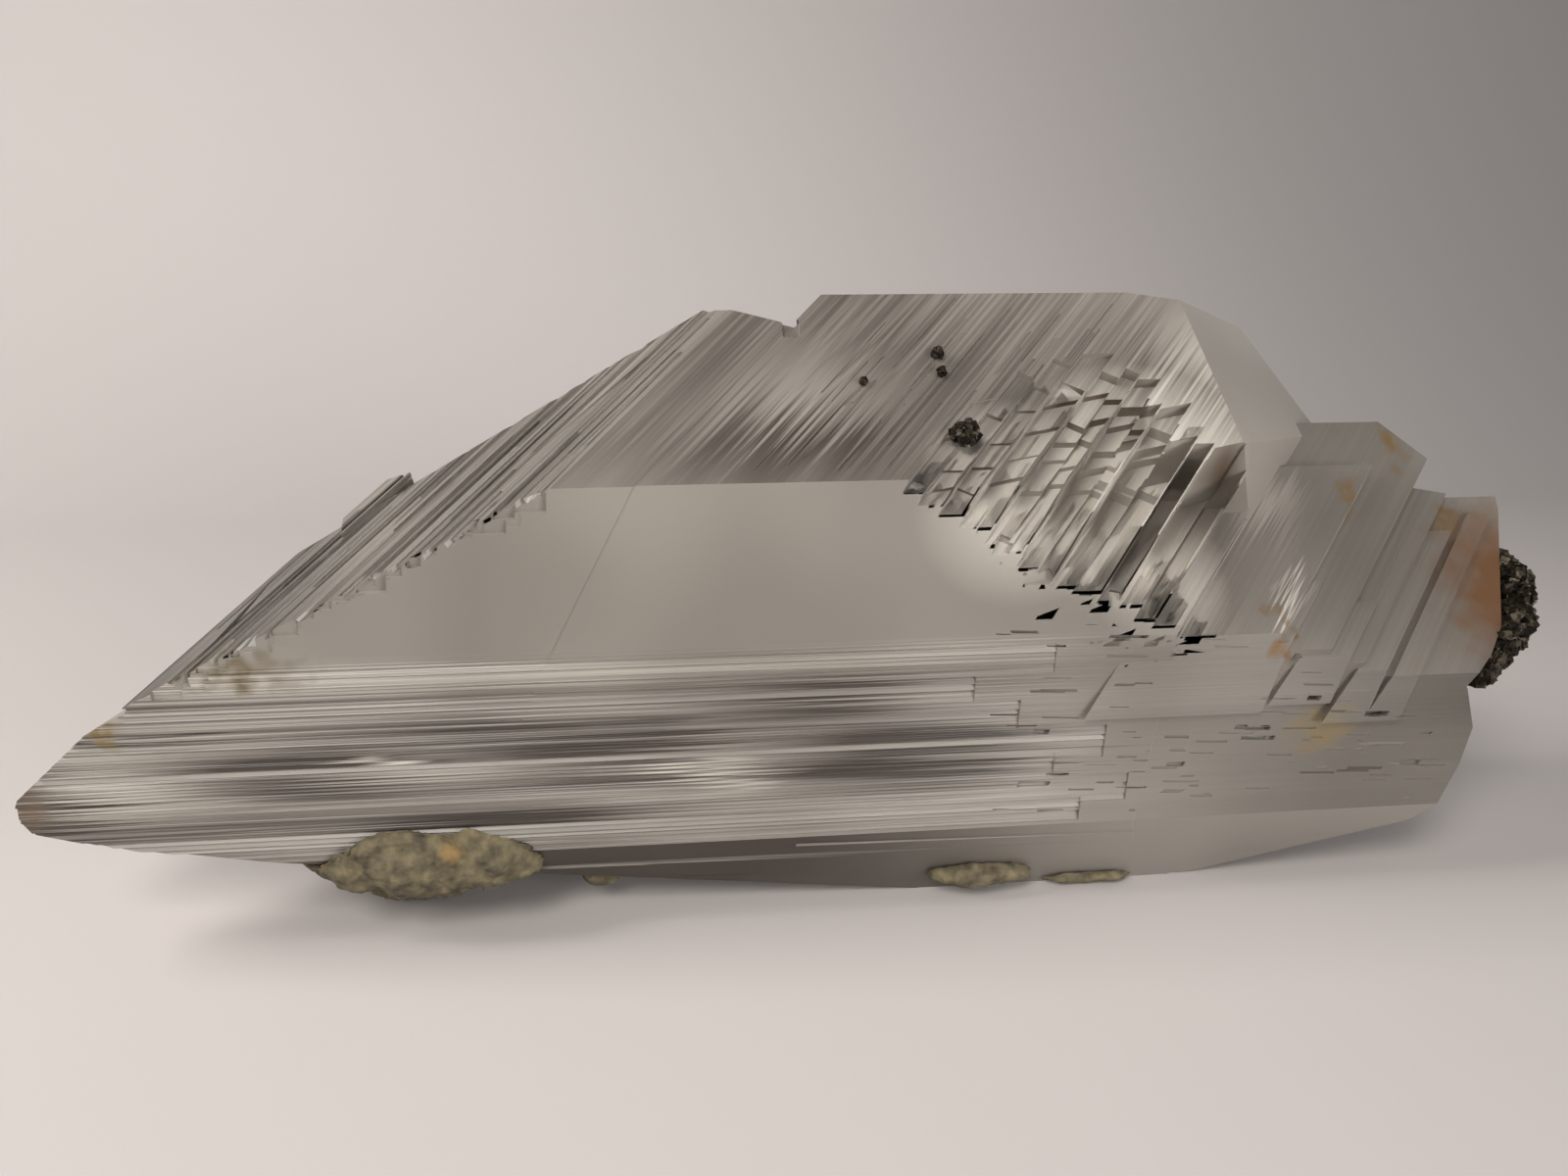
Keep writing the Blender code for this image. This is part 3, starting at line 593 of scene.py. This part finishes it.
# Pyrite: dark tarnished crust on the right end, one cluster and three single grains on the
# broad face. Each is a heap of small cubes grown into one another, and they sparkle where a
# clean face catches the lamp.
FIRST_HEAP_SEED = 31
CUBE_INSET = 0.35  # how deep a cube's centre lies, as a share of its side
# Solid, name of the dressed piece, number of cubes, side of a cube in mm.
PYRITE_PIECES = (
    ("pyrite_crust", "crust_crystals", 900, 1.5),
    ("pyrite_cluster", "cluster_crystals", 90, 1.1),
    ("pyrite_grain_high", "high_grain", 14, 1.0),
    ("pyrite_grain_mid", "mid_grain", 12, 0.8),
    ("pyrite_grain_left", "left_grain", 10, 0.7),
)


def cube_heap(node, name, count, size, seed):
    """Copy of a solid covered with small tilted cubes."""
    rng = random.Random(seed)
    heap = closed_copy(node, name)
    bm = bmesh.new()
    bm.from_mesh(heap.data)
    faces = [(f.calc_area(), f.calc_center_median(), f.normal.copy()) for f in bm.faces]
    for pick in rng.choices(range(len(faces)), [face[0] for face in faces], k=count):
        area, centre, normal = faces[pick]
        side = rng.uniform(size * 0.5, size * 1.25) * MM
        turn = Euler([rng.uniform(0.0, math.pi) for axis in range(3)]).to_matrix().to_4x4()
        spread = math.sqrt(area) * 0.35
        jitter = Vector([rng.uniform(-spread, spread) for axis in range(3)])
        spot = Matrix.Translation(centre + jitter - normal * side * CUBE_INSET)
        bmesh.ops.create_cube(bm, size=side, matrix=spot @ turn)
    bm.to_mesh(heap.data)
    bm.free()
    return heap


def pyrite_material():
    """Tarnished pyrite: dark bronze metal, and each small face has a tone and a gloss of its
    own, so the crust glitters unevenly."""
    mat, tree = new_material("tarnished_pyrite")
    point = add_node(tree, "ShaderNodeTexCoord").outputs["Object"]
    grains = add_node(tree, "ShaderNodeTexVoronoi", values={"Scale": 1100.0},
                      links={"Vector": point})
    parts = add_node(tree, "ShaderNodeSeparateColor", links={"Color": grains.outputs["Color"]})
    tone = add_node(tree, "ShaderNodeValToRGB", links={"Fac": parts.outputs[0]})
    for stop, code in zip(tone.color_ramp.elements, ("0f0d0a", "3f382d")):
        stop.color = linear(code)
    gloss = add_node(tree, "ShaderNodeMapRange", values={"To Min": 0.25, "To Max": 0.65},
                     links={"Value": parts.outputs[1]})
    shader = add_node(tree, "ShaderNodeBsdfPrincipled", values={"Metallic": 0.85},
                      links={"Base Color": tone.outputs["Color"], "Roughness": gloss.outputs[0]})
    add_node(tree, "ShaderNodeOutputMaterial", links={"Surface": shader.outputs[0]})
    return mat


pyrite = pyrite_material()
for seed, (node, name, count, size) in enumerate(PYRITE_PIECES, FIRST_HEAP_SEED):
    heap = cube_heap(node, name, count, size, seed)
    coat(heap, pyrite)
    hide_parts(node)
    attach(heap, "root")


# Table and backdrop: a plain pale sheet of card that runs from the table up the wall in one
# curve. It is matt, so it shows no horizon and no mirror image.
SHEET_NEAR, SHEET_FAR, SHEET_BEND, SHEET_HALF, SHEET_HEIGHT = 1.3, 0.62, 0.34, 1.8, 1.8  # metres
BEND_ANGLE, BEND_STEPS = 86.0, 40
WALL_LEAN = 0.07


def sweep(near, far, bend, half, height):
    """Sheet from the near edge of the table, round a wide bend and up to the given height."""
    bm = bmesh.new()
    start = bm.verts.new((-half, -near, 0.0))
    turn = bm.verts.new((-half, far - bend, 0.0))
    bm.edges.new((start, turn))
    spun = bmesh.ops.spin(bm, geom=[turn], cent=(-half, far - bend, bend), axis=(1, 0, 0),
                          angle=math.radians(BEND_ANGLE), steps=BEND_STEPS, use_merge=False,
                          use_duplicate=False)
    top = [v for v in spun["geom_last"] if isinstance(v, bmesh.types.BMVert)][0]
    wall = bm.verts.new((-half, far + WALL_LEAN * height, height))
    bm.edges.new((top, wall))
    grown = bmesh.ops.extrude_edge_only(bm, edges=bm.edges[:])
    moved = [v for v in grown["geom"] if isinstance(v, bmesh.types.BMVert)]
    bmesh.ops.translate(bm, verts=moved, vec=(2.0 * half, 0.0, 0.0))
    for face in bm.faces:
        face.smooth = True
    return bm


card, card_tree = new_material("pale_backdrop_card")
card_shader = add_node(card_tree, "ShaderNodeBsdfPrincipled", values={
    "Base Color": linear("b2adab"), "Roughness": 0.75})
add_node(card_tree, "ShaderNodeOutputMaterial", links={"Surface": card_shader.outputs[0]})
backdrop = as_object(sweep(SHEET_NEAR, SHEET_FAR, SHEET_BEND, SHEET_HALF, SHEET_HEIGHT),
                     "backdrop")
coat(backdrop, card)


# Light: a strong lamp at the left that rakes over the piece, a weaker one above the camera's
# left, a faint one at the right that opens the shadow side, and a weak even room light.
# Name, place, aim, size, watts, colour, spread in degrees.
LAMPS = (
    ("side_lamp", (-0.76, -0.05, 0.68), (0.0, 0.12, 0.02), 0.40, 9.2, "fdf8f2", 180.0),
    ("key_lamp", (-0.28, -0.60, 0.62), (0.0, 0.0, 0.02), 0.30, 2.7, "fdf8f2", 120.0),
    ("fill_card", (0.46, -0.58, 0.20), (0.06, 0.0, 0.09), 0.40, 0.8, "f4f1ee", 55.0),
)


def area_light(name, spot, aim, size, power, colour, spread):
    """Square lamp at a place, turned to its aim."""
    data = bpy.data.lights.new(name, "AREA")
    data.size = size
    data.spread = math.radians(spread)
    data.energy = power
    data.color = linear(colour)[:3]
    lamp = bpy.data.objects.new(name, data)
    lamp.location = spot
    lamp.rotation_euler = (Vector(aim) - Vector(spot)).to_track_quat("-Z", "Y").to_euler()
    bpy.context.scene.collection.objects.link(lamp)


for settings in LAMPS:
    area_light(*settings)

room = bpy.data.worlds.new("room")
bpy.context.scene.world = room
room.use_nodes = True
room.node_tree.nodes["Background"].inputs["Color"].default_value = linear("cdd2dc")
room.node_tree.nodes["Background"].inputs["Strength"].default_value = 0.25


# Camera: low in front of the piece, as the photograph was taken, looking a little down.
eye = bpy.data.cameras.new("camera")
eye.lens = 27.0
eye.sensor_width = 36.0
eye.clip_start = 0.01
camera = bpy.data.objects.new("camera", eye)
camera.location = place(-19.2908, -197.5824, 128.0)
camera.rotation_euler = (math.radians(72.0), 0.0, math.radians(-5.7))
bpy.context.scene.collection.objects.link(camera)
bpy.context.scene.camera = camera
bpy.context.scene.view_settings.view_transform = "Standard"
bpy.context.scene.cycles.max_bounces = 6
bpy.context.scene.cycles.transmission_bounces = 5
bpy.context.scene.cycles.diffuse_bounces = 2
bpy.context.scene.cycles.glossy_bounces = 3
